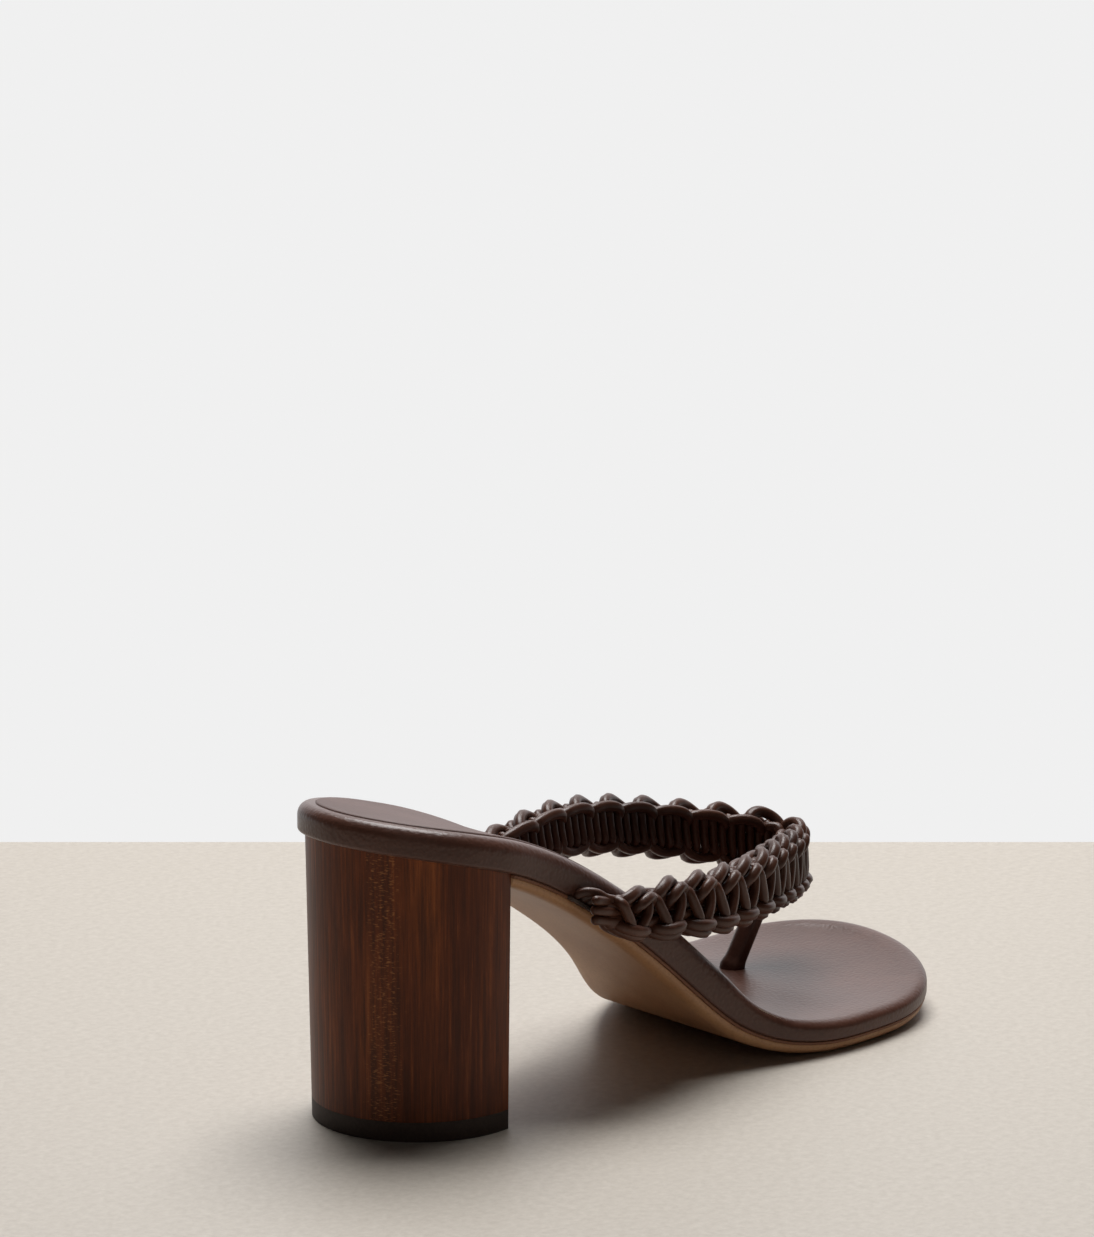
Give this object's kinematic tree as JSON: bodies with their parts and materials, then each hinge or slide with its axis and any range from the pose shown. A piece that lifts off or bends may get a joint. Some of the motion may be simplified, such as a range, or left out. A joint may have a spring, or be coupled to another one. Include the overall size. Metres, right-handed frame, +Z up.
{
  "type": "flip flop",
  "caption": "Block-heel thong sandal for the right foot: wrapped footbed, leather sole, round wooden heel, and a macrame cord strap meeting a toe post.",
  "frame": {"origin": "on the ground, in the middle of the heel round, on the face of the heel top piece", "axes": "+X towards the toe, +Y towards the inner (big toe) side of the foot, +Z up"},
  "size_m": [0.2184, 0.0887, 0.0818],
  "materials": {
    "stained_wood": "semi-gloss",
    "dark_rubber": "matt",
    "brown_leather": "satin",
    "tan_leather": "satin",
    "edge_leather": "matt",
    "lining_leather": "satin",
    "cord_leather": "satin",
    "fibre_board": "matt",
    "spring_steel": "brushed",
    "foam": "matt",
    "plastic_dowel": "matt",
    "webbing": "matt"
  },
  "bodies": {
    "root": {"heel_block": "stained_wood", "heel_top_piece": "dark_rubber", "top_piece_dowels": "plastic_dowel", "heel_screw": "spring_steel", "heel_nails": "spring_steel", "outsole": "tan_leather", "runner": "edge_leather", "insole_board": "fibre_board", "shank_board": "fibre_board", "steel_shank": "spring_steel", "shank_rivets": "spring_steel", "footbed_foam": "foam", "footbed_cover": "brown_leather", "sock_lining": "lining_leather", "toe_post_core": "cord_leather", "toe_post_sleeve": "brown_leather", "toe_post_anchor": "webbing", "toe_post_loop": "brown_leather", "strap_filler_cords": "cord_leather", "strap_upper_cord": "cord_leather", "strap_lower_cord": "cord_leather", "outer_tail_cords": "cord_leather", "inner_tail_cords": "cord_leather", "outer_anchor_tab": "webbing", "inner_anchor_tab": "webbing"}
  },
  "joints": []
}
